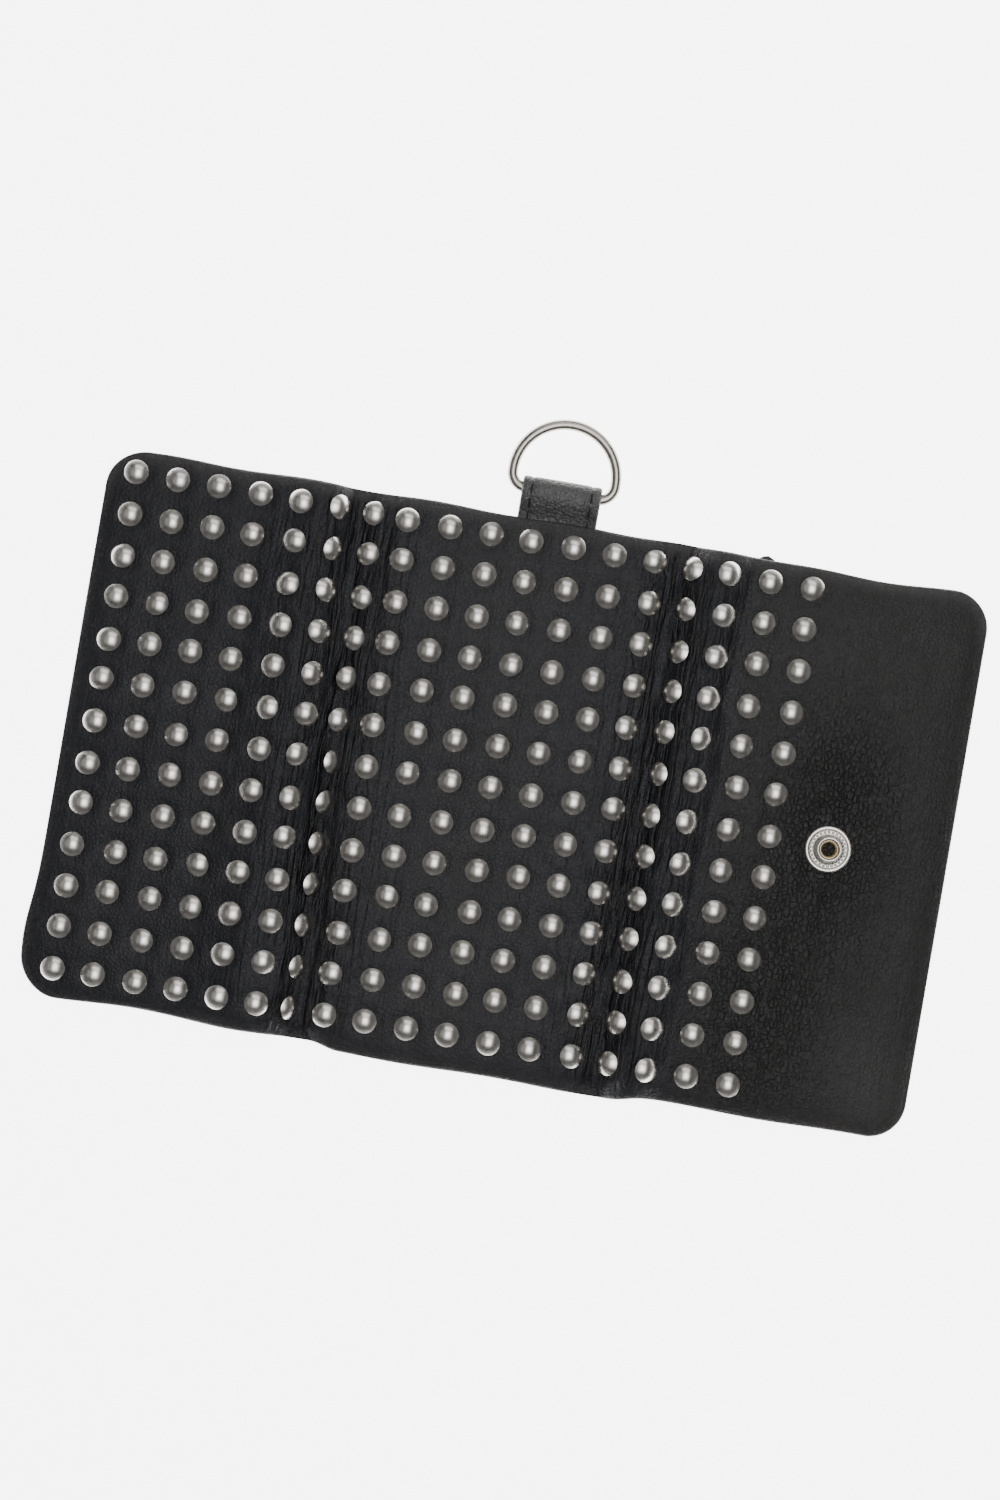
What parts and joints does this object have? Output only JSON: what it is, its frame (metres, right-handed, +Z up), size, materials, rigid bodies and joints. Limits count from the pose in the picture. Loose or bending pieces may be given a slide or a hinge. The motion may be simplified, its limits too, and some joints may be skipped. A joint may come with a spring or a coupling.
{
  "type": "chain wallet",
  "caption": "Studded trifold leather wallet lying open, with a wire D-ring on a leather tab for a chain and a press snap between its two flaps.",
  "frame": {"origin": "centre of the back panel's width and of the wallet's height, on the surface that the open wallet rests on", "axes": "+X across the open wallet towards the flap with the snap, +Y along the creases towards the D-ring, +Z up out of the studded face"},
  "size_m": [0.1852, 0.1373, 0.0067],
  "materials": {
    "outer_leather": "satin",
    "inner_leather": "satin",
    "lining_fabric": "matte",
    "polished_nickel": "polished",
    "brass": "satin",
    "spring_steel": "satin",
    "thread": "matte"
  },
  "bodies": {
    "left_flap": {"left_flap_leather": "outer_leather", "left_flap_lining": "lining_fabric", "left_flap_studs": "polished_nickel", "left_flap_inner_panel": "inner_leather", "left_flap_upper_pocket": "inner_leather", "left_flap_lower_pocket": "inner_leather", "snap_socket": "polished_nickel", "snap_socket_washer": "polished_nickel", "snap_spring": "spring_steel"},
    "left_spine": {"left_spine_leather": "outer_leather", "left_spine_lining": "lining_fabric", "left_spine_studs": "polished_nickel"},
    "back": {"back_leather": "outer_leather", "back_lining": "lining_fabric", "back_studs": "polished_nickel", "back_inner_panel": "inner_leather", "back_rear_card_pocket": "inner_leather", "back_front_card_pocket": "inner_leather", "ring_tab": "outer_leather", "ring_tab_stitches": "thread"},
    "right_spine": {"right_spine_leather": "outer_leather", "right_spine_lining": "lining_fabric", "right_spine_studs": "polished_nickel"},
    "right_flap": {"right_flap_leather": "outer_leather", "right_flap_lining": "lining_fabric", "right_flap_studs": "polished_nickel", "right_flap_inner_panel": "inner_leather", "right_flap_rear_card_pocket": "inner_leather", "right_flap_front_card_pocket": "inner_leather", "snap_stud": "polished_nickel", "snap_eyelet": "brass"},
    "d_ring": {"d_ring": "polished_nickel"}
  },
  "joints": [
    {"name": "left_spine_fold", "type": "hinge", "parent": "back", "child": "left_spine", "pos_m": [-0.03, 0, 0.0038], "axis": [0, -1, 0], "range_deg": [-10, 90]},
    {"name": "left_flap_fold", "type": "hinge", "parent": "left_spine", "child": "left_flap", "pos_m": [-0.044, 0, 0.0038], "axis": [0, -1, 0], "range_deg": [-10, 90]},
    {"name": "right_spine_fold", "type": "hinge", "parent": "back", "child": "right_spine", "pos_m": [0.03, 0, 0.0038], "axis": [0, 1, 0], "range_deg": [-10, 90]},
    {"name": "right_flap_fold", "type": "hinge", "parent": "right_spine", "child": "right_flap", "pos_m": [0.0383, 0, 0.0038], "axis": [0, 1, 0], "range_deg": [-10, 90]},
    {"name": "d_ring_swing", "type": "hinge", "parent": "back", "child": "d_ring", "pos_m": [0.00432, 0.0632, 0.00235], "axis": [1, 0, 0], "range_deg": [-100, 140]}
  ],
  "couplings": [
    {"joint": "left_flap_fold", "follows": "left_spine_fold", "ratio": 1},
    {"joint": "right_flap_fold", "follows": "right_spine_fold", "ratio": 1}
  ]
}
